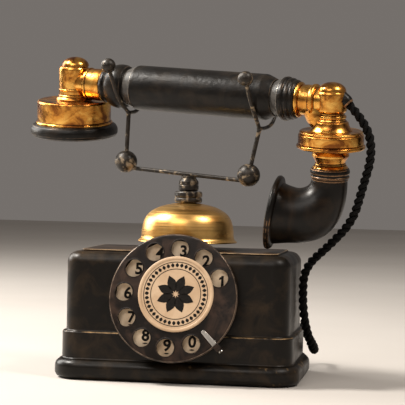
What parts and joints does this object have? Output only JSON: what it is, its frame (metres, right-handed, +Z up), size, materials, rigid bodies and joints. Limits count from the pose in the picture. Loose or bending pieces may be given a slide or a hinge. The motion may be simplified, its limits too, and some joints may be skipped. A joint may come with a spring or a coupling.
{
  "type": "desk rotary dial telephone",
  "caption": "Antique-style desk telephone: stepped case with rotary dial, brass bell under a wire cradle, and a brass handset with a curved mouth horn and cord.",
  "frame": {"origin": "centre of the resting face of the felt pad under the case, at table level", "axes": "+Z up, -Y towards the dial and the user, +X to the user's right along the case"},
  "size_m": [0.249, 0.1543, 0.2188],
  "materials": {
    "black_lacquer": "satin black lacquer on pressed steel, worn to gold-brown along its edges",
    "lid_bronze": "dark bronzed lacquer, rubbed along its edges",
    "brass": "old gilt brass, golden over orange and brown patches, with dark grime in its recesses",
    "bell_brass": "spun brass with fine lathe lines",
    "wire_iron": "blackened iron wire and turned balls, dull, with pale rubbed streaks",
    "dial_black": "black-brown mottled lacquer on the dial wheel",
    "grip_black": "satin black ebonite with a fine leathery skin, rubbed at its end cone",
    "horn_black": "satin black lacquer over brass, worn brown along its lines",
    "cream_plate": "aged cream enamel number plate",
    "cream_card": "beige printed card",
    "steel": "bright plated steel",
    "felt": "dark felt",
    "iron_core": "soft iron cores and magnet",
    "copper_wire": "coils wound with enamelled copper wire and wrapped in red-brown tape",
    "bakelite": "brown bakelite insulation",
    "rubber": "black rubber bush",
    "cord_braid": "black twisted two-strand braided cord"
  },
  "bodies": {
    "case": {"case_shell": "black_lacquer", "lid_plate": "lid_bronze", "base_plate": "black_lacquer", "base_pad": "felt", "base_screws": "steel", "cord_gland": "brass", "line_inlet": "rubber", "bell_gong": "bell_brass", "guide_sleeve": "wire_iron", "gong_nut": "wire_iron", "ringer_frame": "iron_core", "ringer_coils": "copper_wire", "induction_coil": "copper_wire", "capacitor": "steel", "terminal_block": "bakelite", "hook_contacts": "brass", "dial_pan": "dial_black", "number_plate": "cream_plate", "finger_stop": "steel", "finger_stop_screw": "steel", "dial_frame": "steel", "dial_screws": "steel", "pulse_contacts": "brass", "governor_cup": "brass"},
    "cradle": {"cradle_bar": "wire_iron", "cradle_balls": "wire_iron", "cradle_fork_left": "wire_iron", "cradle_fork_right": "wire_iron", "plunger_rod": "steel", "plunger_knob": "wire_iron", "plunger_spring": "steel"},
    "hook": {"hook_lever": "steel"},
    "dial": {"finger_wheel": "dial_black", "card_ring": "cream_plate", "centre_card": "cream_card", "dial_shaft": "steel", "main_gear": "brass", "pulse_cam": "bakelite"},
    "governor": {"governor_arbor": "brass"},
    "clapper": {"clapper": "steel"},
    "handset": {"grip_tube": "grip_black", "grip_ring_left": "grip_black", "grip_ring_right": "grip_black", "barrel_left": "brass", "barrel_right": "brass", "elbow_left": "brass", "elbow_cap_left": "brass", "elbow_right": "brass", "elbow_cap_right": "brass", "receiver_cup": "brass", "ear_cap": "grip_black", "receiver_diaphragm": "steel", "receiver_magnet": "iron_core", "transmitter_top": "brass", "transmitter_body": "brass", "transmitter_capsule": "iron_core", "transmitter_neck": "brass", "mouth_horn": "horn_black", "handset_gland": "horn_black", "handset_cord": "cord_braid"}
  },
  "joints": [
    {"name": "handset_lift", "type": "slide", "parent": "case", "child": "handset", "axis": [0, 0, 1], "range_m": [0, 0.06]},
    {"name": "cradle_rise", "type": "slide", "parent": "case", "child": "cradle", "axis": [0, 0, 1], "range_m": [0, 0.0075], "deforming": ["plunger_spring"]},
    {"name": "hook_lever_turn", "type": "hinge", "parent": "case", "child": "hook", "pos_m": [-0.026, 0, 0.06], "axis": [0, -1, 0], "range_deg": [0, 19.5]},
    {"name": "dial_turn", "type": "hinge", "parent": "case", "child": "dial", "pos_m": [0, -0.0539, 0.0567], "axis": [0, -0.974, 0.2267], "range_deg": [-330, 0], "stiffness_Nm_per_rad": 0.01, "springref_deg": 57.3},
    {"name": "governor_spin", "type": "hinge", "parent": "case", "child": "governor", "pos_m": [-0.01745, -0.05162, 0.06651], "axis": [0, -0.974, 0.2267], "range_deg": [-5, 1325]},
    {"name": "clapper_swing", "type": "hinge", "parent": "case", "child": "clapper", "pos_m": [0, 0.014, 0.033], "axis": [1, 0, 0], "range_deg": [-1.6, 1.6], "stiffness_Nm_per_rad": 0.05}
  ],
  "couplings": [
    {"joint": "cradle_rise", "follows": "handset_lift", "ratio": 0.11667},
    {"joint": "hook_lever_turn", "follows": "handset_lift", "rad_per_m": 5.5267},
    {"joint": "governor_spin", "follows": "dial_turn", "ratio": -4}
  ]
}
